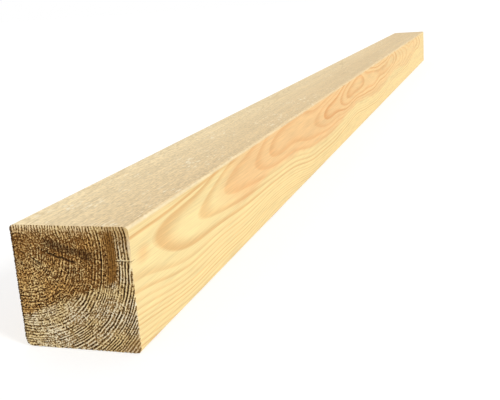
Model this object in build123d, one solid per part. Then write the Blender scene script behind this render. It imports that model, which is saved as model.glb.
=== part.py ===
"""Square timber: one straight length of planed softwood, sawn off square at both ends.

The timber is a single piece of wood. It lies along Y on one of its planed faces, with +Z up.
The origin is the middle of the underside, so the underside is at Z = 0.
The near end, at -Y, shows the pith close to its left upper edge, with season checks beside it.
Sizes are in millimetres.
"""

import os

from build123d import *

# The planed stock
section_side = 90.0  # across two opposite planed faces
timber_length = 2100.0  # from one sawn end to the other
arris_radius = 3.0  # the eased long edges

# The pith, which is the centre of the growth rings, as the near end shows it
pith_from_left = 6.0  # from the left face, seen from the near end
pith_from_top = 19.0  # from the top face

# Season checks: cracks that opened at the near end as the wood dried
check_depth = 9.0  # how far a check runs into the wood
check_tip_share = 0.4  # the part of its length that a check keeps at its tip
check_tip_width = 0.1  # its width at the tip
check_overrun = 1.0  # how far a cutting blade stands out of the wood, so that it cuts clean

# The long check runs to the right of the pith, over the heartwood
long_check_start = 20.0  # from the pith, to the right
long_check_length = 23.0
long_check_width = 0.8
long_check_fall = 17.0  # degrees below level

# The short check lies just under the pith
short_check_start = 8.0  # from the pith, to the right
short_check_drop = 4.0  # below the pith
short_check_length = 8.5
short_check_width = 0.7
short_check_fall = 34.0  # degrees below level

# The edge check is level and opens on the right face as well
edge_check_reach = 11.0  # how far in from the right face it runs
edge_check_drop = 5.0  # below the pith
edge_check_width = 0.5

# Places that follow from the sizes above
half_side = section_side / 2
near_end = -timber_length / 2
far_end = timber_length / 2
pith_x = pith_from_left - half_side
pith_z = section_side - pith_from_top


def planed_stock():
    """The square section with its four eased edges, drawn out from the near end to the far one."""
    section = Plane.XZ.offset(-far_end) * Pos(0, half_side) * RectangleRounded(
        section_side, section_side, arris_radius
    )
    return extrude(section, amount=timber_length)


def check_blade(start_x, start_z, length, width, fall):
    """The solid that cuts one season check, from its start at the near end, falling to the right."""
    tip_margin = length * (1 - check_tip_share) / 2
    tip_side = (width - check_tip_width) / 2
    wedge = Wedge(
        length,
        check_depth,
        width,
        tip_margin,
        tip_side,
        length - tip_margin,
        width - tip_side,
        align=(Align.MIN, Align.MIN, Align.CENTER),
    )
    mouth = Pos(0, -check_overrun, 0) * Box(
        length, check_overrun, width, align=(Align.MIN, Align.MIN, Align.CENTER)
    )
    place = Pos(start_x, near_end, start_z) * Rot(0, fall, 0)
    return place * (wedge + mouth)


def season_checks():
    """The three checks of the near end."""
    long_check = check_blade(
        pith_x + long_check_start,
        pith_z,
        long_check_length,
        long_check_width,
        long_check_fall,
    )
    short_check = check_blade(
        pith_x + short_check_start,
        pith_z - short_check_drop,
        short_check_length,
        short_check_width,
        short_check_fall,
    )
    # Twice its reach, so that the blade's deep half lies at the right face and the check opens there
    edge_check = check_blade(
        half_side - edge_check_reach,
        pith_z - edge_check_drop,
        2 * edge_check_reach,
        edge_check_width,
        0,
    )
    return [long_check, short_check, edge_check]


def square_timber():
    """The whole timber: planed stock with its season checks cut in."""
    wood = planed_stock()
    for blade in season_checks():
        wood = wood - blade
    return wood


timber = square_timber()

os.makedirs("parts", exist_ok=True)
export_step(timber, "parts/timber.step")

print("timber volume, litres", round(timber.volume / 1e6, 3))
print("timber box", timber.bounding_box())
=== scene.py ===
# %% [markdown]
# A square timber, as a lesson in Blender.
# The real thing is one length of softwood, planed on four sides and sawn off at both ends.
# It is one piece, so it becomes one closed mesh. Its shape is simple, and its looks are all in the
# wood: growth rings, torn fibres on the sawn ends, and grain lines on the planed faces.
# The frame of the CAD model is loaded first, and the timber's side and length come from it.

# %% Load the frame
import math

import bmesh
import bpy
import numpy as np
from mathutils import Matrix, Vector, noise


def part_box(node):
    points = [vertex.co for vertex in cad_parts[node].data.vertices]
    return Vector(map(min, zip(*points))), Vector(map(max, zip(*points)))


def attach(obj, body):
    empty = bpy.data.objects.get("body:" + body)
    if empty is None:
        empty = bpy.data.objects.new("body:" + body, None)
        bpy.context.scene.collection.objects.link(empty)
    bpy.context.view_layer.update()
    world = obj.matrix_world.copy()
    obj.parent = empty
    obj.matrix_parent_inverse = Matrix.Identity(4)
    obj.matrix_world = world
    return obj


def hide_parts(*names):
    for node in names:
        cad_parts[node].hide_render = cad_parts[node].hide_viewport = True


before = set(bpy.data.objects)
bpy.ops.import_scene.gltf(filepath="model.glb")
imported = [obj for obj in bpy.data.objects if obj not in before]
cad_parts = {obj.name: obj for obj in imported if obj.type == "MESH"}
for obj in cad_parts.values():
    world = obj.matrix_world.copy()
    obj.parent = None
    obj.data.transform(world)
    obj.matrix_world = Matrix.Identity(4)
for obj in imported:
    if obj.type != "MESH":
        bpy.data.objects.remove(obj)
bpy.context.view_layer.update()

low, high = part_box("timber")
mm = 0.001
side = (high.x - low.x) / mm
length = (high.y - low.y) / mm
half = side / 2
print("the timber is", round(side), "mm square and", round(length), "mm long")

# %% [markdown]
# The growth rings. A tree lays down one ring a year round its pith, pale and soft in spring, then
# dark and hard in late summer. The relief of the sawn ends and the colour of every face both come
# from them, so they are one formula: the distance from the pith tells the year.
# A picture of wood would show a seam at each edge. A formula in space runs on round all six faces.
# Lengths are in millimetres from here on, because wood is measured that way. Right is measured from
# the middle, up from the underside, and along from the near end.

# %% The pith and the rings
pith_from_left = 6.0
pith_from_top = 19.0
pith_right = pith_from_left - half
pith_up = side - pith_from_top
ring_width = 1.9
# Moves the rings outwards, by this share of a year
year_shift = 0.4
# The pith wanders inside the stem: (wave length, start angle, reach to the right, reach up)
pith_wanders = [(3800.0, 0.0, 15.0, -4.0), (500.0, 0.0, -1.0, -6.8)]
# The rings ripple: (waves round the pith, wave length along the stem, start angle, share of radius)
ring_ripples = [
    (3, 2600.0, 0.7, 0.012),
    (7, 520.0, 2.1, 0.005),
    (-5, 230.0, 0.4, 0.005),
    (2, 140.0, 1.2, 0.003),
]
# Good and bad years make wide and narrow rings: (radians for each mm of radius, start angle, years)
year_swings = [(0.267, 0.16, 0.42), (0.83, 2.0, 0.06)]
print("the pith lies", pith_from_left, "mm from the left and", pith_from_top, "mm from the top")

# %% [markdown]
# The place is measured from the pith first, wherever the pith has wandered to. Its distance is
# stretched a little by the ripples, and divided by the width of a ring.

# %% From a place to its year


def from_pith(right, along, up):
    """How far each point lies to the right of the pith, and above it."""
    for wave, start, reach_right, reach_up in pith_wanders:
        swing = math.sin(2 * math.pi * along / wave + start) - math.sin(start)
        right = right - reach_right * swing
        up = up - reach_up * swing
    return right - pith_right, up - pith_up


def rings_at(right, along, up):
    """The distance from the pith as the rings tell it, and the years of growth up to there."""
    right, up = from_pith(right, along, up)
    angle = np.arctan2(up, right)
    stretch = 1.0
    for waves, wave, start, share in ring_ripples:
        stretch = stretch + share * np.sin(waves * angle + 2 * math.pi * along / wave + start)
    radius = np.hypot(right, up) * stretch
    year = radius / ring_width - year_shift
    for turns, start, years in year_swings:
        year = year + years * np.sin(turns * radius + start)
    return radius, year


corner_year = rings_at(np.float64(half), 0.0, np.float64(0.0))[1]
print("years at the low right corner:", round(float(corner_year)))

# %% [markdown]
# Heartwood. The middle of a stem stops carrying sap and turns browner. Its edge follows a ring on the
# right, but low down it cuts across the rings, as it often does.
# Away from the near end the heartwood is wider, so that it comes out on the right face.
# Many things on this timber come and go softly, so one function does it for all of them. It is
# given the value where they start and the value where they are whole.

# %% How deep in the heartwood a point lies
heart_radius = 75.5
heart_below = 46.5
heart_slope = 0.375
heart_growth = 9.0
growth_start, growth_end = 60.0, 290.0


def fade(value, start, end):
    """From 0 at the start to 1 at the end, with a soft bend at both."""
    share = np.clip((value - start) / (end - start), 0, 1)
    return share * share * (3 - 2 * share)


def heart_at(right, along, up, radius):
    """How many mm inside the heartwood each point lies. In the sapwood it is below zero."""
    right, up = from_pith(right, along, up)
    growth = heart_growth * fade(along, growth_start, growth_end)
    return np.minimum(heart_radius - radius, heart_below + up - heart_slope * right) + growth


print("the heartwood reaches", heart_radius, "mm from the pith")

# %% [markdown]
# The resin band. Just inside its edge on the right the heartwood is soaked with resin. It fills the
# rings there and leaves a smooth brown band, which thins out towards the top and ends half way down.

# %% Where the resin lies
resin_width = 9.0
resin_end = 49.0


def resin_share(radius, heart, top):
    """The resin band, from 0 to 1, with the top as the mm below the top face."""
    inner_edge = heart_radius - resin_width
    across = fade(heart, 0.9, 1.9) * fade(radius, inner_edge, inner_edge + 3.0)
    return across * fade(top, resin_end, resin_end - 7.0) * fade(top, -1.0, 7.0)


def resin_at(right, along, up):
    """The resin band at each point of an end."""
    radius = rings_at(right, along, up)[0]
    return resin_share(radius, heart_at(right, along, up, radius), side - up)


print("the resin band is", resin_width, "mm wide")

# %% [markdown]
# The grid of an end. Each end is a square grid of small faces, fine enough to carry the relief of
# the rings, and its rim is the outline that runs along the timber.
# The real arrises are eased with a plane. A fillet would break the grid, so each corner of the grid
# is pressed into a quarter disc instead, which keeps every face four-sided.

# %% A square grid with eased corners
cell = 0.5
arris_radius = 3.0
cells = round(side / cell)
flat_half = half - arris_radius
steps = np.linspace(-half, half, cells + 1)
grid_right, grid_up = np.meshgrid(steps, steps, indexing="ij")
corner_right = np.maximum(np.abs(grid_right) - flat_half, 0) / arris_radius
corner_up = np.maximum(np.abs(grid_up) - flat_half, 0) / arris_radius
in_corner = (corner_right > 0) & (corner_up > 0)
reach_right = flat_half + arris_radius * corner_right * np.sqrt(1 - corner_up**2 / 2)
reach_up = flat_half + arris_radius * corner_up * np.sqrt(1 - corner_right**2 / 2)
grid_right = np.where(in_corner, np.sign(grid_right) * reach_right, grid_right)
grid_up = half + np.where(in_corner, np.sign(grid_up) * reach_up, grid_up)
print("each end has", cells * cells, "faces, of", cell, "mm")

# %% [markdown]
# Season checks. Wood shrinks most round its rings as it dries, so its end cracks. A check is thin
# and slants across the grid. So the grid is bent first: one of its rows is led along the check, and
# the rows beside it make room. The two rows next to it close up to the width of the check, as its
# lips. Later the row between them is pushed into the wood, which leaves a clean V.
# A boolean cut would do it too, but it leaves long thin faces round the cut.
# Places on an end are given as the eye reads it, from the left and from the top.

# %% Where the checks run
# The points that each check passes through: (mm from the left, mm from the top)
long_check = [
    (25.5, 18.6),
    (30.0, 20.4),
    (36.0, 22.9),
    (38.5, 22.6),
    (41.0, 24.0),
    (45.0, 25.4),
    (49.0, 26.0),
]
short_check = [(13.5, 22.6), (16.0, 24.4), (18.5, 26.0), (21.5, 28.4)]
edge_check = [(78.5, 24.3), (82.0, 24.0), (86.0, 24.1), (90.0, 24.0)]
check_widths = [0.8, 0.7, 0.7]
print("the long check passes through", len(long_check), "points")

# %% [markdown]
# The bend fades out past both ends of a check and over the rows above and below it, so that the
# small faces stay nearly square. The last check is open at the right face. That is kept with its
# row, because it gets no second tip.

# %% Bend the grid along the checks
check_fade = 5.0
check_room = 11.0
from_left = grid_right + half
near_up = grid_up.copy()
check_rows = []
for path, width in zip((long_check, short_check, edge_check), check_widths):
    path_left, path_top = np.array(path).T
    start, end = path_left[0], path_left[-1]
    row = round((side - path_top.mean()) / cell)
    lead = side - np.interp(from_left, path_left, path_top) - near_up[:, row : row + 1]
    beside = fade(from_left, start - check_fade, start) * fade(from_left, end + check_fade, end)
    near_up = near_up + lead * beside * fade(np.abs(steps - steps[row]), check_room, 0)
    for step in (-1, 1):
        lip = near_up[:, row] + step * width / 2
        near_up[:, row + step] += (lip - near_up[:, row + step]) * beside[:, row]
    is_open = side - end < cell
    check_rows.append((row, start, end, is_open))
print("the checks run along the rows", [check[0] for check in check_rows])

# %% [markdown]
# The relief of a sawn end. The saw tears the soft spring wood out and leaves the hard summer wood
# standing, so the rings are ridges that one can feel. In the heartwood, tufts of torn fibre hide
# them. Along the top edge the saw came in and tore the fibres into an upright comb.
# Sculpting by hand would not follow the rings, so a formula says how high each point stands. Torn
# wood is never regular, so it needs a smooth noise that can be drawn out.

# %% Noise with a grain, and the hard part of a year


def grain_noise(a, b, size_a, size_b, layer):
    """Smooth noise from -1 to 1 over two lengths, with a grain of the given sizes."""
    # The noise has a cubic lattice, so the plane is slanted in it, to keep the lattice from showing
    shape = a.shape
    a, b = a.ravel() / size_a, b.ravel() / size_b
    grain = [noise.noise(Vector(place)) for place in zip(a, b, layer + 0.4 * a + 0.55 * b)]
    return np.array(grain).reshape(shape)


def summer_share(year):
    """How much of a point is hard summer wood: it grows through the year and stops with winter."""
    return np.interp(year % 1, [0.0, 0.1, 0.4, 0.75, 0.9, 1.0], [0.3, 0.0, 0.15, 0.9, 1.0, 0.3])


summer_part = (summer_share(steps / side) > 0.5).mean()
print("summer wood takes up", round(100 * summer_part), "% of a ring")

# %% [markdown]
# How clear the rings are. They are sharp in the sapwood, blurred in the torn heartwood, and gone
# round the pith. A painted mask would be one more picture to keep, so a few zones with soft edges
# are added up instead.

# %% How clear the rings are
comb_whole, comb_end = 1.6, 9.6
ring_patch = 9.0
pith_blur = 14.0


def ring_clarity(right, up, radius, sap, layer):
    """How clearly the rings stand out at each point, with 0 for not at all."""
    left_face, top = right + half, side - up
    patchy = grain_noise(right, up, ring_patch, ring_patch, layer + 17)
    # In the sapwood they are clear low on the right, and in the last ten millimetres before the rim
    near_rim = (right - half + 10.0) / 5 * (0.4 + 0.6 * fade(top, 0, 16))
    clear = fade(patchy + np.maximum((right - up) / 45, near_rim), -0.45, 0.55)
    clarity = 0.3 + 0.3 * patchy + sap * (0.1 + 0.6 * clear)
    # They are clearer high on the right of the heartwood, and low on the left rim
    clarity = clarity + 0.3 * fade(right, 12, 22) * fade(top, 60, 40) * (1 - sap)
    clarity = clarity + 0.2 * fade(left_face, 15, 7) * fade(top, 40, 55)
    # On the right they run up into the comb, and round the pith they are lost
    in_comb = 0.6 * fade(top, comb_end, comb_whole) * fade(right, -15, 0)
    return np.maximum(clarity, in_comb) * fade(radius, 0, pith_blur)


print("the rings are lost within", pith_blur, "mm of the pith")

# %% [markdown]
# Torn fibres and the comb. The fibres are dots and pits about 0.8 mm across. The cube of the noise
# makes them, because it leaves most of the wood flat and lets a few points stand out.
# The comb is a wave with a tooth every two millimetres, which wanders as torn fibres do.

# %% Torn fibres and the comb
fibre_dot = 0.8
fibre_turn = 0.035
comb_pitch = 2.05


def torn_fibres(right, up, radius, left, layer):
    """How far torn fibres stand out: dots and pits, and short streaks that follow the rings."""
    turn = np.arctan2(up - pith_up, right - pith_right)
    dots = grain_noise(right, up, fibre_dot, fibre_dot, layer)
    streaks = grain_noise(radius, turn, fibre_dot, fibre_turn, layer + 5)
    # The left half was torn the most
    return (1 + 0.9 * left) * (1.2 * dots + 12.0 * dots**3) + 0.9 * streaks


def comb_teeth(right, up, layer):
    """The wave of the comb, from -1 between two teeth to 1 on a tooth."""
    wander = grain_noise(right, up, 5.0, 9.0, layer + 9)
    return np.sin(2 * math.pi * right / comb_pitch + 4.0 * wander)


print("the comb has", round(side / comb_pitch), "teeth")

# %% [markdown]
# Each end weighs the rings, the fibres and the comb against each other by where the point lies.
# The result is a share from 0 on a top to 1 in a hollow, and not yet a depth, because the colours
# will use the same share later, to paint the tops pale and the hollows dark: painted highlight and
# painted shade.

# %% How far each point of an end is sunk


def sunk_at(right, along, up, layer):
    """How far each point of an end is sunk, from 0 on a top to 1 in a hollow."""
    radius, year = rings_at(right, along, up)
    heart = heart_at(right, along, up, radius)
    top = side - up
    sap = fade(heart, 1.5, -1.5)
    left = fade(right, 10, -30) * fade(top, 20, 30)
    on_right = fade(right, -15, 0)
    comb = fade(top, comb_end, comb_whole)
    teeth = comb_teeth(right, up, layer)
    clarity = ring_clarity(right, up, radius, sap, layer)
    # The saw makes the rings wobble by up to a quarter of a year, and some years are weaker
    year = year + 0.25 * grain_noise(right, up, 8.0, 8.0, layer + 27)
    year_strength = 0.8 + 0.4 * np.sin(2.4 * np.floor(year))
    rings = clarity * year_strength * (2 * summer_share(year) - 0.95)
    tufts = torn_fibres(right, up, radius, left, layer) * (1 - 0.3 * clarity - 0.4 * comb)

    # Rings and tufts stand above or below the middle level, and sapwood stands a little higher
    stand = (1.9 + 0.6 * sap) * rings + tufts + 0.27 * sap + 0.25 * left - 0.12
    # The comb is strongest on the left, and its teeth reach the top face as pale tips
    stand = stand + comb * (0.2 + (0.8 - 0.4 * on_right) * teeth)
    stand = stand + fade(top, 4.55, 1.05) * (0.5 + 0.5 * teeth)
    # Sapwood and the torn left half have more contrast, and the upper third is higher
    stand = stand * (1 + 0.6 * left + 0.25 * sap) + 0.12 * fade(top, 30, 5)
    # Resin fills nearly half of the relief
    stand = stand * (1 - 0.45 * resin_share(radius, heart, top))
    return np.clip(0.5 - 0.5 * stand, 0, 1)


near_layer, far_layer = 1.0, 31.0
near_sunk = sunk_at(grid_right, 0.0, near_up, near_layer)
far_sunk = sunk_at(grid_right, length, grid_up, far_layer)
print("sunk on average by", round(float(near_sunk.mean()), 2), "and", round(float(far_sunk.mean()), 2))

# %% [markdown]
# The saw's cut isn't quite flat, which adds a slow swell to the relief.
# Handling knocks the outermost fibres off, so the rim falls away a little, apart from the top edge,
# where the comb stands right out to the face.

# %% From a share to a depth
relief_depth = 0.8
rim_depth = 0.4
rim_width = 1.0
swell_size = 14.0
to_low_rim = cell * np.arange(cells + 1)
to_side_rim = np.minimum(to_low_rim, to_low_rim[::-1])
to_rim = np.minimum(to_side_rim[:, None], to_low_rim[None, :])
rim_fall = rim_depth * fade(to_rim, rim_width, 0)
swell = 0.15 + 0.15 * grain_noise(grid_right, grid_up, swell_size, swell_size, 21.0)
near_depth = relief_depth * near_sunk + rim_fall + swell
far_depth = relief_depth * far_sunk + rim_fall + swell
print("the near end is", round(float(near_depth.max()), 2), "mm deep before its checks are cut")

# %% [markdown]
# A check is deepest in its middle and runs out at both tips, so its depth is half an ellipse. The
# open one is as deep at the right face as inside, and so it shows as a fine line on that face too.
# A ragged noise keeps the bottom of each from being smooth.

# %% Cut the checks
check_depth = 9.0
ragged_size = 2.0
ragged = grain_noise(grid_right, grid_up, ragged_size, ragged_size, 23.0)
for row, start, end, is_open in check_rows:
    share = (from_left[:, row] - start) / (end - start)
    ellipse = np.sqrt(np.clip(1 - (2 * share - 1) ** 2, 0, 1))
    opening = fade(share, 0, 1 / 3) if is_open else ellipse
    near_depth[:, row] += check_depth * opening * (0.8 + 0.2 * ragged[:, row])
print("the near end is", round(float(near_depth.max()), 2), "mm deep with its checks")

# %% [markdown]
# The long faces. A planer leaves them flat, so they need few faces along the timber. The rim of an
# end has to run straight into them without a seam, so they keep its outline all the way. The
# cross-sections lie close together at the ends and far apart in the middle, as a cosine spaces them.

# %% The rim of an end, and where the cross-sections lie
sections = 45
bottom_rim = [(i, 0) for i in range(cells)]
right_rim = [(cells, j) for j in range(cells)]
top_rim = [(cells - i, cells) for i in range(cells)]
left_rim = [(0, cells - j) for j in range(cells)]
rim_i, rim_j = np.array(bottom_rim + right_rim + top_rim + left_rim).T
rim_right, rim_up = grid_right[rim_i, rim_j], grid_up[rim_i, rim_j]
stations = length * (1 - np.cos(np.pi * np.arange(sections + 1) / sections)) / 2
print("the rim has", len(rim_i), "points, and the first section lies at", round(stations[1], 1), "mm")

# %% [markdown]
# A knocked corner. The low left corner of the near end has been bumped against the ground. Its
# points are pushed up and to the right by most of a millimetre. The push fades out over a few
# millimetres of the end and a few centimetres of the timber, so it leaves no step.

# %% Knock the corner in
knock_depth = 0.9
knock_reach = 7.0
knock_length = 45.0


def knocked(right, along, up):
    """The points in order, with those round the near end's low left corner pushed in."""
    reach = right + half + up
    push = knock_depth * fade(reach, knock_reach, 0) * fade(along, knock_length, 0)
    return np.stack([right + push, along + 0 * reach, up + push], -1).reshape(-1, 3)


print("the corner is pushed up and in by", knock_depth, "mm each")

# %% [markdown]
# The arrises aren't perfect on real stock, so noise presses them in by a few tenths of a
# millimetre. Where the open check comes out, the rim is deeper than the first cross-sections are.
# Their points there are moved behind it, or the long face would fold over itself.

# %% Cross-sections from end to end
arris_wear = 0.3
wear_size = 20.0
on_arris = fade(np.abs(corner_right - corner_up)[rim_i, rim_j], 1, 0) * in_corner[rim_i, rim_j]
points = [knocked(grid_right, near_depth, near_up)]
points.append(np.stack([grid_right, length - far_depth, grid_up], -1).reshape(-1, 3))
for along in stations[1:-1]:
    wear = 0.5 + 0.5 * grain_noise(rim_right + along / 3, rim_up, wear_size, wear_size, 40.0)
    worn_right = rim_right - np.sign(rim_right) * arris_wear * on_arris * wear
    worn_up = rim_up - np.sign(rim_up - half) * arris_wear * on_arris * wear
    behind_rim = np.maximum(along, 1.1 * near_depth[rim_i, rim_j] + 0.02 * along)
    points.append(knocked(worn_right, behind_rim, worn_up))
points = np.concatenate(points)
print("the mesh has", len(points), "points and", sections - 1, "sections between its ends")

# %% [markdown]
# All three groups of faces are rows and columns, so whole arrays of corner numbers make them,
# which is far quicker than adding faces one by one. The corners of a face run anticlockwise as
# seen from outside, so that its normal points out of the wood.

# %% Faces of the two ends and the long faces
end_points = (cells + 1) ** 2
number = np.arange(end_points).reshape(cells + 1, cells + 1)
near_corners = [number[:-1, :-1], number[1:, :-1], number[1:, 1:], number[:-1, 1:]]
near_faces = np.stack(near_corners, -1).reshape(-1, 4)
far_faces = near_faces[:, ::-1] + end_points
rim_count = 4 * cells
rows = [number[rim_i, rim_j]]
rows += [2 * end_points + rim_count * s + np.arange(rim_count) for s in range(sections - 1)]
rows += [number[rim_i, rim_j] + end_points]
rows = np.array(rows)
after = np.roll(rows, -1, axis=1)
long_faces = np.stack([rows[:-1], rows[1:], after[1:], after[:-1]], -1).reshape(-1, 4)
faces = np.concatenate([near_faces, far_faces, long_faces])
print("the mesh has", len(faces), "faces, or", 2 * len(faces), "triangles")

# %% [markdown]
# Blender measures in metres, so the millimetres are turned back here, and the near end is put
# where the CAD timber has its own.

# %% Make the mesh and its object
mesh = bpy.data.meshes.new("timber_wood")
points_in_metres = points * mm + np.array([0.0, low.y, low.z])
mesh.from_pydata(points_in_metres.tolist(), [], faces.tolist())
wood = bpy.data.objects.new("timber_wood", mesh)
bpy.context.scene.collection.objects.link(wood)
print("timber_wood has", len(mesh.vertices), "points")

# %% [markdown]
# Shading and slots. The long faces are planed softwood and the ends are weathered end grain, so the
# mesh has two material slots. Faces are shaded smooth, but a sawn rim is a crisp edge, so each edge
# between the two materials is marked sharp.

# %% Two slots, with a crisp edge between them
planed_slot, sawn_slot = 0, 1
slots = np.full(len(faces), planed_slot, np.int32)
slots[: 2 * cells * cells] = sawn_slot
mesh.polygons.foreach_set("material_index", slots)
mesh.polygons.foreach_set("use_smooth", np.ones(len(faces), bool))
edit = bmesh.new()
edit.from_mesh(mesh)
for edge in edit.edges:
    edge.smooth = len({face.material_index for face in edge.link_faces}) == 1
print("the mesh is closed:", all(edge.is_manifold for edge in edit.edges))
edit.to_mesh(mesh)
edit.free()

# %% [markdown]
# What the near end shows. A streak of pitch has run across it above the long check, and its left rim
# is painted dark, as painted shade on the arris that faces away from the light. Both have soft,
# broken edges, so they are distances that a noise bends. Each becomes a share from 0 to 1 at every
# point of the grid.

# %% The streak of pitch and the painted shade on the left rim
pitch_start = (22.0, 11.0)
pitch_end = (65.0, 22.5)
pitch_half_width = 2.6
pitch_strength = 0.62
rim_shade_width = 3.0
rim_shade_strength = 0.85
near_top = side - near_up

run_left, run_top = np.subtract(pitch_end, pitch_start)
past_left, past_top = from_left - pitch_start[0], near_top - pitch_start[1]
pitch_length = math.hypot(run_left, run_top)
share = (past_left * run_left + past_top * run_top) / pitch_length**2
away = (past_top * run_left - past_left * run_top) / pitch_length
edge_noise = grain_noise(from_left, near_top, 5.0, 2.0, 51.0)
edge_noise = edge_noise + 0.7 * grain_noise(from_left, near_top, 1.2, 1.2, 53.0)
pitch = fade(np.abs(away) / pitch_half_width - 0.9 * edge_noise, 1.6, 0.6)
pitch = pitch * fade(share, 0, 1 / 6) * fade(share, 1, 5 / 6)
# Painted shade: the left rim is darkened, on the arris that faces away from the light
left_rim_shade = fade(from_left - 0.8 * ragged, rim_shade_width, 0)
# The stain share holds the real streak of pitch and the painted shade
near_stain_and_shade = np.maximum(pitch_strength * pitch, rim_shade_strength * left_rim_shade)
print("the streak of pitch is", round(pitch_length), "mm long")

# %% [markdown]
# Painted shade in the checks. It fills the two closed checks and spreads a little over their lips.
# The open one is lighter: a thin line of painted shadow lies in it and below, and the rows over it
# are painted pale, as a painted highlight on its lit lip.

# %% Painted shade in the checks, and a painted highlight over the open one
# The share of painted shade on the five rows of a check, from below it to above it
check_shade = (0.25, 0.75, 0.9, 0.75, 0.25)
edge_check_shadow = (0.0, 0.2, 0.5, 0.0, 0.0)
lit_lip_rows = 2
for row, start, end, is_open in check_rows:
    share = (from_left[:, row] - start) / (end - start)
    within = fade(share, 0, 1 / 8)
    if not is_open:
        within = within * fade(share, 1, 7 / 8)
    for step, shade_share in enumerate(edge_check_shadow if is_open else check_shade, -2):
        near_stain_and_shade[:, row + step] = np.maximum(near_stain_and_shade[:, row + step], shade_share * within)
    # The rows over the open check are made pale in colour alone: a painted highlight on its lit lip
    if is_open:
        near_sunk[:, row + 1 : row + 1 + lit_lip_rows] *= (1 - within)[:, None]
print("the stains cover", round(100 * float(near_stain_and_shade.mean())), "% of the near end")

# %% [markdown]
# The right rim and its corners. A pale fringe is painted down the right rim, wide above and narrow
# below: a painted highlight where the rim catches the light. The two corners beside it are browner,
# as if resin had been rubbed in, so they get a share of the colours of resin. The hollows of the low
# one are paler too.

# %% The painted highlight on the right rim, and the brown corners
fringe_wide = 2.6
fringe_taper = 1.7
near_resin = resin_at(grid_right, 0.0, near_up)
far_resin = resin_at(grid_right, length, grid_up)

fringe = fringe_wide - fringe_taper * fade(near_top, 22, 38)
rim_highlight = fade(from_left - 1.2 * ragged, side - fringe, side - fringe + 1.5)
low_corner = fade(from_left + near_top, 158, 172)
high_corner = fade(from_left - near_top, 58, 78)
# Painted highlight: the fringe makes the right rim pale in colour alone, since the depth was taken
# before
near_sunk = near_sunk * (1 - rim_highlight) * (1 - 0.3 * low_corner)
near_resin = np.maximum.reduce([near_resin, 0.45 * low_corner, 0.5 * high_corner])
print("resin colours", round(100 * float(near_resin.mean())), "% of the near end")

# %% [markdown]
# The three shares are stored as attributes, one number for each point. A material can read them by
# name, so the colours will follow the relief exactly. The far end has hollows and resin by the same
# formulas, but no stains. The long faces need none of them.

# %% Keep the hollows, the stains and painted shade, and the resin with the mesh
for name, near_share, far_share in (
    ("hollow", near_sunk, far_sunk),
    ("stain_and_shade", near_stain_and_shade, np.zeros_like(far_sunk)),
    ("resin", near_resin, far_resin),
):
    kept = np.zeros(len(points), np.float32)
    kept[:end_points] = near_share.ravel()
    kept[end_points : 2 * end_points] = far_share.ravel()
    mesh.attributes.new(name, "FLOAT", "POINT").data.foreach_set("value", kept)
    print(name, "covers", round(100 * float(near_share.mean())), "% of the near end")

# %% [markdown]
# A map for the texture, so that the timber's colours can be painted onto one square image for other
# programs. An automatic unwrap would give two sawn ends of 90 mm few pixels beside four faces of
# 2100 mm, so the map is given here: four bands for the long faces, one over the other, and the ends
# above them, enlarged.

# %% Lay out the texture map
map_side = 1024
gap = 4
band = 150
near_width, far_width = 600, 404
end_height = map_side - 4 * (band + gap) - 2 * gap


def end_corners(corner_numbers, left_edge, width):
    """The map places of an end's corners, from its grid."""
    i, j = np.divmod(corner_numbers, cells + 1)
    map_up = map_side - gap - end_height * (1 - j / cells)
    return np.stack([left_edge + width * i / cells, map_up], -1)


near_map = end_corners(near_faces, gap, near_width)
far_map = end_corners(near_faces[:, ::-1], gap + near_width + gap, far_width)
span = map_side - 2 * gap
s, k = np.meshgrid(np.arange(sections), np.arange(rim_count), indexing="ij")
first, second = gap + span * stations[s] / length, gap + span * stations[s + 1] / length
lower = gap + (k // cells) * (band + gap) + band * (k % cells) / cells
upper = lower + band / cells
long_map = np.stack([first, lower, second, lower, second, upper, first, upper], -1)
places = np.concatenate([near_map, far_map, long_map.reshape(-1, 4, 2)]) / map_side
mesh.uv_layers.new(name="OFBake").data.foreach_set("uv", places.astype(np.float32).ravel())
print("the map gives the near end", round(near_width / side, 1), "pixels to a millimetre")

# %% [markdown]
# Colours and nodes. A colour is written as the sRGB hex value that one would pick from a picture,
# and Blender wants linear light, so one function turns it. Another adds a node with its settings,
# values and links, and gives back its outputs.
# Values go into the node's inputs in order, or by name or number. A MapRange gets the value to turn,
# where it starts and ends, and what comes out there: 0 and 1 if nothing is said. A Mix of colours
# gets its share at 0 and its colours at 6 and 7. Two settings recur, so they get names: soft bends
# a MapRange at both ends, as fade does, and rgba makes a Mix blend colours.

# %% Two helpers for materials


def srgb(code):
    """A hex colour as linear red, green, blue and alpha."""
    parts = [int(code[i : i + 2], 16) / 255 for i in (1, 3, 5)]
    return [c / 12.92 if c <= 0.04045 else ((c + 0.055) / 1.055) ** 2.4 for c in parts] + [1.0]


def add(tree, kind, values, **settings):
    """Adds a node, sets it, and puts a value or a link on each input named. Returns its outputs."""
    node = tree.nodes.new("ShaderNode" + kind)
    for name, value in settings.items():
        setattr(node, name, value)
    for key, value in values.items() if isinstance(values, dict) else enumerate(values):
        if isinstance(value, bpy.types.NodeSocket):
            tree.links.new(value, node.inputs[key])
        else:
            node.inputs[key].default_value = value
    return node.outputs


soft = {"interpolation_type": "SMOOTHSTEP"}
rgba = {"data_type": "RGBA"}
print("the middle grey #808080 is", round(srgb("#808080")[0], 3), "in linear light")

# %% [markdown]
# Planed softwood. The knives of a planer leave a dull, even surface, with a roughness of about 0.7.
# Wood has an IOR of about 1.5, so that stays as Blender sets it. Its cut cells trap light, so it
# gets half of the usual gloss. To the eye it is soft and warm, with hardly a highlight.
# Both materials start from the place of each point in millimetres of the timber, as the mesh did.

# %% Planed softwood, to start with


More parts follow.
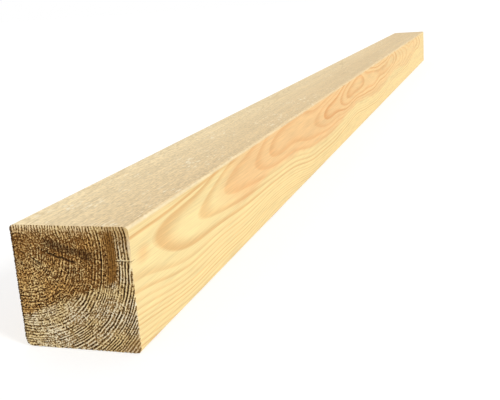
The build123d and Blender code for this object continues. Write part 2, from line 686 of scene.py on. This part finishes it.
def wood_material(name, roughness, gloss):
    """A material with one Principled shader, and each point's place in mm of the timber."""
    material = bpy.data.materials.new(name)
    material.use_nodes = True
    tree = material.node_tree
    shader = tree.nodes["Principled BSDF"]
    shader.inputs["Roughness"].default_value = roughness
    shader.inputs["Specular IOR Level"].default_value = gloss
    place = add(tree, "TexCoord", [])["Object"]
    place = add(tree, "VectorMath", {0: place, 1: (0, -low.y, -low.z)}, operation="ADD")[0]
    place = add(tree, "VectorMath", {0: place, "Scale": 1 / mm}, operation="SCALE")[0]
    return material, tree, shader, place


planed, tree, shader, place = wood_material("planed softwood", roughness=0.7, gloss=0.25)
right, along, up = add(tree, "SeparateXYZ", [place])
print(planed.name, "starts with", len(tree.nodes), "nodes")

# %% [markdown]
# The rings again, this time as nodes. They repeat the formulas of the mesh step by step, so each
# grain line of a long face starts where its ring meets the rim. The rings wander along the timber,
# and where they come out on a face they draw the pointed arches of real grain.
# The wobble that the saw gave the ends is left out, because a planed face has none.

# %% The year, in nodes


def pith_nodes(tree, place):
    """Nodes for from_pith: the sockets of the mm to the right of the pith, along and above it."""
    right, along, up = add(tree, "SeparateXYZ", [place])
    for wave, start, reach_right, reach_up in pith_wanders:
        swing = add(tree, "Math", [along, 2 * math.pi / wave, start], operation="MULTIPLY_ADD")[0]
        swing = add(tree, "Math", [swing], operation="SINE")[0]
        swing = add(tree, "Math", [swing, math.sin(start)], operation="SUBTRACT")[0]
        right = add(tree, "Math", [swing, -reach_right, right], operation="MULTIPLY_ADD")[0]
        up = add(tree, "Math", [swing, -reach_up, up], operation="MULTIPLY_ADD")[0]
    right = add(tree, "Math", [right, pith_right], operation="SUBTRACT")[0]
    up = add(tree, "Math", [up, pith_up], operation="SUBTRACT")[0]
    return right, along, up


def radius_nodes(tree, right, along, up):
    """Nodes for the first half of rings_at: the socket of the distance from the pith."""
    distance = add(tree, "CombineXYZ", [right, up, 0.0])[0]
    radius = add(tree, "VectorMath", [distance], operation="LENGTH")["Value"]
    angle = add(tree, "Math", [up, right], operation="ARCTAN2")[0]
    stretch = 1.0
    for waves, wave, start, share in ring_ripples:
        swing = add(tree, "Math", [along, 2 * math.pi / wave, start], operation="MULTIPLY_ADD")[0]
        swing = add(tree, "Math", [angle, waves, swing], operation="MULTIPLY_ADD")[0]
        swing = add(tree, "Math", [swing], operation="SINE")[0]
        stretch = add(tree, "Math", [swing, share, stretch], operation="MULTIPLY_ADD")[0]
    return add(tree, "Math", [radius, stretch], operation="MULTIPLY")[0]


def year_nodes(tree, radius):
    """Nodes for its second half: the socket of the years of growth."""
    year = add(tree, "Math", [radius, 1 / ring_width, -year_shift], operation="MULTIPLY_ADD")[0]
    for turns, start, years in year_swings:
        swing = add(tree, "Math", [radius, turns, start], operation="MULTIPLY_ADD")[0]
        swing = add(tree, "Math", [swing], operation="SINE")[0]
        year = add(tree, "Math", [swing, years, year], operation="MULTIPLY_ADD")[0]
    return year


print("the rings have", len(pith_wanders), "wanders and", len(ring_ripples), "ripples")

# %% [markdown]
# Heartwood and summer wood as nodes. The heartwood repeats its formula too. Summer wood is simpler
# on a planed face than in the relief: it darkens through the year and breaks off at its end.

# %% Heartwood and summer wood, in nodes


def heart_nodes(tree, right, along, up, radius):
    """Nodes for heart_at: the socket of the mm inside the heartwood."""
    round_edge = add(tree, "Math", [heart_radius, radius], operation="SUBTRACT")[0]
    low_edge = add(tree, "Math", [right, -heart_slope, up], operation="MULTIPLY_ADD")[0]
    low_edge = add(tree, "Math", [low_edge, heart_below], operation="ADD")[0]
    heart = add(tree, "Math", [round_edge, low_edge], operation="MINIMUM")[0]
    growth = add(tree, "MapRange", [along, growth_start, growth_end], **soft)[0]
    return add(tree, "Math", [growth, heart_growth, heart], operation="MULTIPLY_ADD")[0]


def summer_nodes(tree, year):
    """Nodes for the share of summer wood: it rises through the year and falls away at its end."""
    part = add(tree, "Math", [year], operation="FRACT")[0]
    rise = add(tree, "MapRange", [part, 0.35, 0.88], **soft)[0]
    fall = add(tree, "MapRange", [part, 0.9, 1.0, 1.0, 0.25], **soft)[0]
    return add(tree, "Math", [rise, fall], operation="MULTIPLY")[0]


pith_place = pith_nodes(tree, place)
radius = radius_nodes(tree, *pith_place)
heart = heart_nodes(tree, *pith_place, radius)
year = year_nodes(tree, radius)
summer = summer_nodes(tree, year)
print(planed.name, "has", len(tree.nodes), "nodes with its rings")

# %% [markdown]
# No two years are alike, so each gets a strength of its own, by chance. The top face is told from
# the others by its height. The heartwood has a soft, wandering edge, and its tint is weaker towards
# the far end.

# %% Strong and weak years, the top face and the heartwood
weakest_year = 0.3
heart_wander = 8.0
which_year = add(tree, "Math", [year], operation="FLOOR")[0]
strength = add(tree, "TexWhiteNoise", {"W": which_year}, noise_dimensions="1D")[0]
strength = add(tree, "MapRange", [strength, 0.0, 1.0, weakest_year, 1.0])[0]
summer = add(tree, "Math", [summer, strength], operation="MULTIPLY")[0]

on_top = add(tree, "MapRange", [up, side - 3.5, side - 0.8], **soft)[0]

soft_edge = add(tree, "TexNoise", {"Vector": place, "Scale": 0.02, "Detail": 2.0})[0]
soft_edge = add(tree, "Math", [soft_edge, heart_wander, heart], operation="MULTIPLY_ADD")[0]
tint = add(tree, "MapRange", [soft_edge, 0.0, 9.0], **soft)[0]
paler = add(tree, "MapRange", [along, 600.0, 1400.0, 1.0, 0.55])[0]
tint = add(tree, "Math", [tint, paler], operation="MULTIPLY")[0]
print("the weakest year shows at", weakest_year, "of its strength")

# %% [markdown]
# The colours of spring and summer. On the sides spring wood is cream and summer wood is the colour
# of honey, and both turn more orange in the heartwood. The top face gets greyer colours than the
# sides, as painted shade for the light it gets, and they grow greyer towards its right and far away.
# Its rings are faint.

# %% Colours of the rings
ring_on_sides, ring_on_top = 0.95, 0.35
spring_side = add(tree, "Mix", {0: tint, 6: srgb("#f8dfa2"), 7: srgb("#f2c88e")}, **rgba)[2]
summer_side = add(tree, "Mix", {0: tint, 6: srgb("#e6ba7c"), 7: srgb("#e2a263")}, **rgba)[2]

# Painted shade: the top face is greyer than the sides, most towards its right and far away
grey_reach = add(tree, "Math", [along, 0.035, right], operation="MULTIPLY_ADD")[0]
grey = add(tree, "MapRange", [grey_reach, -half, half])[0]
spring_top = add(tree, "Mix", {0: grey, 6: srgb("#fce6b8"), 7: srgb("#e9cea0")}, **rgba)[2]

spring_wood = add(tree, "Mix", {0: on_top, 6: spring_side, 7: spring_top}, **rgba)[2]
summer_wood = add(tree, "Mix", {0: on_top, 6: summer_side, 7: srgb("#cfb27f")}, **rgba)[2]
ring_share = add(tree, "MapRange", [on_top, 0.0, 1.0, ring_on_sides, ring_on_top])[0]
ring_share = add(tree, "Math", [ring_share, summer], operation="MULTIPLY")[0]
colour = add(tree, "Mix", {0: ring_share, 6: spring_wood, 7: summer_wood}, **rgba)[2]
print("the rings show at", ring_on_sides, "on the sides and", ring_on_top, "on the top")

# %% [markdown]
# Two marks on the right face. One streak of resin runs close under the arris for about a hand's
# length, climbs towards it and fades. Near the end there is an orange spot about as large as a
# thumb, where the wood holds more resin. Each is a distance turned into a share, as the rings are.

# %% The streak and the spot on the right face
streak_up, streak_climb = 82.0, 4.6
streak_half_width = 1.9
spot_at = (half, 19.0, 66.0)
spot_reach = (6.0, 16.0, 10.0)
streak_top = streak_up + streak_climb
climb = add(tree, "MapRange", [along, 40.0, 180.0, streak_up, streak_top], **soft)[0]
streak = add(tree, "Math", [up, climb], operation="SUBTRACT")[0]
streak = add(tree, "Math", [streak], operation="ABSOLUTE")[0]
streak = add(tree, "MapRange", [streak, 0.4, streak_half_width, 0.6, 0.0], **soft)[0]
on_right = add(tree, "MapRange", [right, half - 3.0, half - 0.5], **soft)[0]
streak = add(tree, "Math", [streak, on_right], operation="MULTIPLY")[0]
streak_end = add(tree, "MapRange", [along, 130.0, 260.0, 1.0, 0.0])[0]
streak = add(tree, "Math", [streak, streak_end], operation="MULTIPLY")[0]
colour = add(tree, "Mix", {0: streak, 6: colour, 7: srgb("#dc9f5c")}, **rgba)[2]

spot = add(tree, "VectorMath", {0: place, 1: spot_at}, operation="SUBTRACT")[0]
spot = add(tree, "VectorMath", {0: spot, 1: [1 / r for r in spot_reach]}, operation="MULTIPLY")[0]
spot = add(tree, "VectorMath", [spot], operation="LENGTH")["Value"]
spot = add(tree, "MapRange", [spot, 0.0, 1.0, 0.4, 0.0], **soft)[0]
colour = add(tree, "Mix", {0: spot, 6: colour, 7: srgb("#eda866")}, **rgba)[2]
print("the spot reaches", spot_reach[1], "mm along and", spot_reach[2], "mm up and down")

# %% [markdown]
# Fibres, drift and nap. Bundles of fibre run along the timber: they are about 0.3 mm wide, too fine
# to show from a step away, so they are drawn 0.9 mm wide. The shade drifts slowly along the stem as
# well. The weathered top has a nap of short raised fibres, which is strongest near the end, and
# chips, which the next cell adds. All four are noise with grains that are long along the timber.

# %% Fibres, drift and nap
# Each noise: (width of its grains in mm, their length along the timber in mm, detail)
grain_sizes = [(0.9, 45.0, 3.0), (11.0, 400.0, 3.0), (1.6, 5.0, 2.0), (2.4, 9.0, 1.0)]
drawn_out = []
for wide, long, detail in grain_sizes:
    scale = (1 / wide, 1 / long, 1 / wide)
    drawn = add(tree, "VectorMath", {0: place, 1: scale}, operation="MULTIPLY")[0]
    drawn_out.append(add(tree, "TexNoise", {"Vector": drawn, "Scale": 1.0, "Detail": detail})[0])
fibre, drift, nap, chip = drawn_out
for grains, darkest, palest in ((fibre, 0.89, 1.08), (drift, 0.95, 1.06)):
    shade = add(tree, "MapRange", [grains, 0.3, 0.7, darkest, palest])[0]
    colour = add(tree, "VectorMath", {0: colour, "Scale": shade}, operation="SCALE")[0]

shade = add(tree, "MapRange", [nap, 0.3, 0.7, 0.82, 1.13])[0]
nap_share = add(tree, "MapRange", [along, 100.0, 900.0, 1.0, 0.4])[0]
nap_share = add(tree, "Math", [nap_share, on_top], operation="MULTIPLY")[0]
shade = add(tree, "Mix", {0: nap_share, 2: 1.0, 3: shade})[0]
colour = add(tree, "VectorMath", {0: colour, "Scale": shade}, operation="SCALE")[0]
print(planed.name, "has", len(tree.nodes), "nodes with its fibres")

# %% [markdown]
# The painted arris highlight and the chips. The upper right arris is painted pale, most near the end:
# a painted highlight where it catches the light. On the top face short chips of fibre stand up in
# patches and catch the light. A chip is where a noise comes above a limit, because chips have edges
# and a shade has none.

# %% The painted arris highlight and the chips
# Painted highlight: the upper right arris is painted pale where it catches the light
arris_highlight = add(tree, "MapRange", [up, side - 3.4, side - 1.2], **soft)[0]
arris_right = add(tree, "MapRange", [right, half - 2.0, half - 0.8], **soft)[0]
arris_highlight = add(tree, "Math", [arris_highlight, arris_right], operation="MULTIPLY")[0]
paleness = add(tree, "MapRange", [along, 60.0, 500.0, 0.5, 0.12])[0]
arris_highlight = add(tree, "Math", [arris_highlight, paleness], operation="MULTIPLY")[0]
colour = add(tree, "Mix", {0: arris_highlight, 6: colour, 7: srgb("#fff0c8")}, **rgba)[2]

chip = add(tree, "MapRange", [chip, 0.62, 0.7], **soft)[0]
patch = add(tree, "TexNoise", {"Vector": place, "Scale": 0.022, "Detail": 0.0})[0]
patch = add(tree, "MapRange", [patch, 0.45, 0.65, 0.1, 0.8], **soft)[0]
chip = add(tree, "Math", [chip, patch], operation="MULTIPLY")[0]
chip = add(tree, "Math", [chip, on_top], operation="MULTIPLY")[0]
colour = add(tree, "Mix", {0: chip, 6: colour, 7: srgb("#fff1d2")}, **rgba)[2]
tree.links.new(colour, shader.inputs["Base Color"])

bump = add(tree, "Bump", {"Strength": 0.25, "Distance": 0.1 * mm, "Height": fibre})[0]
tree.links.new(bump, shader.inputs["Normal"])
print(planed.name, "has", len(tree.nodes), "nodes in all")

# %% [markdown]
# Weathered end grain. Sawn across, the fibres are open straws: they drink dirt and water, so an end
# goes brown and dull, with a roughness of about 0.9 and hardly any gloss. To the eye it is matt and
# deep, with pale tips over dark hollows. The attributes that the mesh keeps are read here.
# The heartwood is browner than the sapwood, with a ragged edge, and is bleached along the top.

# %% Weathered end grain, to start with
sawn, tree, shader, place = wood_material("weathered end grain", roughness=0.9, gloss=0.15)
pith_place = pith_nodes(tree, place)
heart = heart_nodes(tree, *pith_place, radius_nodes(tree, *pith_place))
hollow = add(tree, "Attribute", [], attribute_name="hollow")["Fac"]
stain_and_shade = add(tree, "Attribute", [], attribute_name="stain_and_shade")["Fac"]
resin = add(tree, "Attribute", [], attribute_name="resin")["Fac"]

raggedness = 9.0
edge = add(tree, "TexNoise", {"Vector": place, "Scale": 0.14, "Detail": 5.0})[0]
edge = add(tree, "Math", [edge, raggedness, heart], operation="MULTIPLY_ADD")[0]
in_heart = add(tree, "MapRange", [edge, 2.3, 6.7], **soft)[0]
up = add(tree, "SeparateXYZ", [place])[2]
bleached = add(tree, "MapRange", [up, side - 9.0, side - 1.0, 1.0, 0.35])[0]
in_heart = add(tree, "Math", [in_heart, bleached], operation="MULTIPLY")[0]
patch = add(tree, "TexNoise", {"Vector": place, "Scale": 0.06, "Detail": 2.0})[0]
patch = add(tree, "MapRange", [patch, 0.35, 0.65], **soft)[0]
print(sawn.name, "starts with", len(tree.nodes), "nodes")

# %% [markdown]
# The raised fibres are cream in the sapwood and yellow-brown in the heartwood, in two shades that
# come and go in patches. Half way down the wood is brown, and in the hollows it is nearly black: the
# step from pale tops to dark hollows is painted highlight and painted shade over the relief. Resin
# brings the three closer together, and stains and painted shade lie over them all.

# %% Colours of the tops, the middle and the hollows
heart_top = add(tree, "Mix", {0: patch, 6: srgb("#f6c678"), 7: srgb("#ffe2a0")}, **rgba)[2]
sap_top = add(tree, "Mix", {0: patch, 6: srgb("#fff3d2"), 7: srgb("#ffe6aa")}, **rgba)[2]
steps_down = []
# The colours of sapwood, heartwood and resin, on the tops, half way down and in the hollows
for sap_colour, heart_colour, resin_colour in (
    (sap_top, heart_top, srgb("#b08040")),
    (srgb("#b08b54"), srgb("#8a5c28"), srgb("#8a602a")),
    (srgb("#35200a"), srgb("#221104"), srgb("#3c240c")),
):
    step = add(tree, "Mix", {0: in_heart, 6: sap_colour, 7: heart_colour}, **rgba)[2]
    step = add(tree, "Mix", {0: resin, 6: step, 7: resin_colour}, **rgba)[2]
    steps_down.append(step)
raised, middle, sunk = steps_down

# Pale tops and nearly black hollows, by the hollow share: painted highlight and painted shade
to_middle = add(tree, "MapRange", [hollow, 0.0, 0.5])[0]
to_sunk = add(tree, "MapRange", [hollow, 0.5, 1.0])[0]
colour = add(tree, "Mix", {0: to_middle, 6: raised, 7: middle}, **rgba)[2]
colour = add(tree, "Mix", {0: to_sunk, 6: colour, 7: sunk}, **rgba)[2]
# The stain share darkens the streak of pitch, and paints shade on the left rim and in the checks
colour = add(tree, "Mix", {0: stain_and_shade, 6: colour, 7: srgb("#341a06")}, **rgba)[2]
tree.links.new(colour, shader.inputs["Base Color"])
print("the end grain has", len(steps_down), "steps of colour")

# %% [markdown]
# Pores. Cut cells are a few hundredths of a millimetre wide, far too fine to show, so they are drawn
# about 0.5 mm wide, as a bump that breaks up the light on the larger tufts of the mesh.

# %% Pores of the end grain
pores = add(tree, "TexNoise", {"Vector": place, "Scale": 2.2, "Detail": 2.0})[0]
bump = add(tree, "Bump", {"Strength": 0.5, "Distance": 0.2 * mm, "Height": pores})[0]
tree.links.new(bump, shader.inputs["Normal"])
print(sawn.name, "has", len(tree.nodes), "nodes in all")

# %% [markdown]
# The two materials go into the slots that the faces name. Then the frame is told what the mesh is:
# it rides on the root body, and it stands for the CAD timber, which is hidden.

# %% Dress the timber and tie it to the frame
mesh.materials.append(planed)
mesh.materials.append(sawn)
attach(wood, "root")
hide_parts("timber")
print("timber_wood stands for the CAD timber")

# %% [markdown]
# The world. It fills the shadows with even light from all round. The camera has to see it as white,
# but as much light as that would wash the wood out. So its strength is 1 where the camera looks at
# it, straight or in gloss or glass, and lower for the light that it sheds.

# %% A white world
world_light = 0.58


def seen_nodes(tree):
    """Nodes for 1 where the camera looks, straight or in gloss or glass, and 0 for other light."""
    path = add(tree, "LightPath", [])
    seen = add(tree, "Math", [path["Is Camera Ray"], path["Is Glossy Ray"]], operation="MAXIMUM")[0]
    return add(tree, "Math", [seen, path["Is Transmission Ray"]], operation="MAXIMUM")[0]


world = bpy.data.worlds.new("studio")
world.use_nodes = True
bpy.context.scene.world = world
tree = world.node_tree
strength = add(tree, "MapRange", [seen_nodes(tree), 0.0, 1.0, world_light, 1.0])[0]
tree.links.new(strength, tree.nodes["Background"].inputs["Strength"])
tree.nodes["Background"].inputs["Color"].default_value = (1, 1, 1, 1)
print("the world lights the wood at", world_light)

# %% [markdown]
# The floor. It is a plain sheet just under the timber, far larger than the view, and it keeps the
# timber's shadow. It is staged, so it isn't part of the object. Its paint glows a little where the
# camera sees it, so that it reads as white without more light on the wood.

# %% The floor
floor_half = 20.0
floor_up = low.z - 0.2 * mm
floor_signs = ((-1, -1), (1, -1), (1, 1), (-1, 1))
floor_corners = [(x * floor_half, y * floor_half, floor_up) for x, y in floor_signs]
floor_mesh = bpy.data.meshes.new("floor")
floor_mesh.from_pydata(floor_corners, [], [(0, 1, 2, 3)])
floor = bpy.data.objects.new("floor", floor_mesh)
bpy.context.scene.collection.objects.link(floor)

paint = bpy.data.materials.new("white floor paint")
paint.use_nodes = True
tree = paint.node_tree
tree.nodes.remove(tree.nodes["Principled BSDF"])
plain = add(tree, "BsdfDiffuse", {"Color": (0.8, 0.8, 0.8, 1)})[0]
dull = add(tree, "BsdfDiffuse", {"Color": (0.5, 0.5, 0.5, 1)})[0]
glow = add(tree, "Emission", {"Color": (1, 1, 1, 1), "Strength": 0.6})[0]
white = add(tree, "AddShader", [dull, glow])[0]
surface = add(tree, "MixShader", [seen_nodes(tree), plain, white])[0]
tree.links.new(surface, tree.nodes["Material Output"].inputs["Surface"])
floor_mesh.materials.append(paint)
print("the floor is", round(2 * floor_half), "m wide")

# %% [markdown]
# The lamps. The relief of the end only shows when light falls across it, so the key light comes from
# the right and a little in front. It is a sun with a wide disc, because a sun lights both ends of a
# long timber alike, and a wide disc makes its shadows soft. A weak fill from behind the left keeps
# that side from going black.

# %% Key and fill
# Each lamp: (name, direction towards it, share of full light, width of its disc in degrees)
lamps = [
    ("key", (0.78, -0.35, 0.52), 0.52, 14),
    ("fill", (-0.70, 0.45, 0.55), 0.12, 60),
]
for name, direction, share, disc in lamps:
    lamp = bpy.data.lights.new(name, "SUN")
    lamp.energy = math.pi * share
    lamp.angle = math.radians(disc)
    lamp_object = bpy.data.objects.new(name, lamp)
    lamp_object.rotation_euler = Vector(direction).to_track_quat("Z", "Y").to_euler()
    bpy.context.scene.collection.objects.link(lamp_object)
print("the studio has", len(lamps), "lamps")

# %% [markdown]
# The camera. It stands in front of the near end, above it and to its right, and turns back across
# the timber, which runs away to the far right. Its place was found by matching the edges of the
# near end, and the long edges, to the picture. So it is given in sides of the timber, from the
# middle of the near end's lower edge, and its focal length in pixels.

# %% The camera
image_width = 500
focal_pixels = 785.2
sides_from_end = Vector((3.064, -4.906, 2.540))
forward = Vector((-0.3030, 0.9200, -0.2487)).normalized()
to_right = Vector((0.9530, 0.2950, -0.0698))

camera_data = bpy.data.cameras.new("camera")
camera_data.sensor_width = 36.0
camera_data.lens = camera_data.sensor_width * focal_pixels / image_width
to_right = (to_right - to_right.dot(forward) * forward).normalized()
to_up = to_right.cross(forward)
turn = Matrix((to_right, to_up, -forward)).transposed()
camera_place = sides_from_end * side * mm + Vector((0, low.y, low.z))
camera = bpy.data.objects.new("camera", camera_data)
camera.matrix_world = Matrix.Translation(camera_place) @ turn.to_4x4()
bpy.context.scene.collection.objects.link(camera)
bpy.context.scene.camera = camera
bpy.context.scene.view_settings.view_transform = "Standard"
print("the camera stands at", [round(x, 2) for x in camera_place])
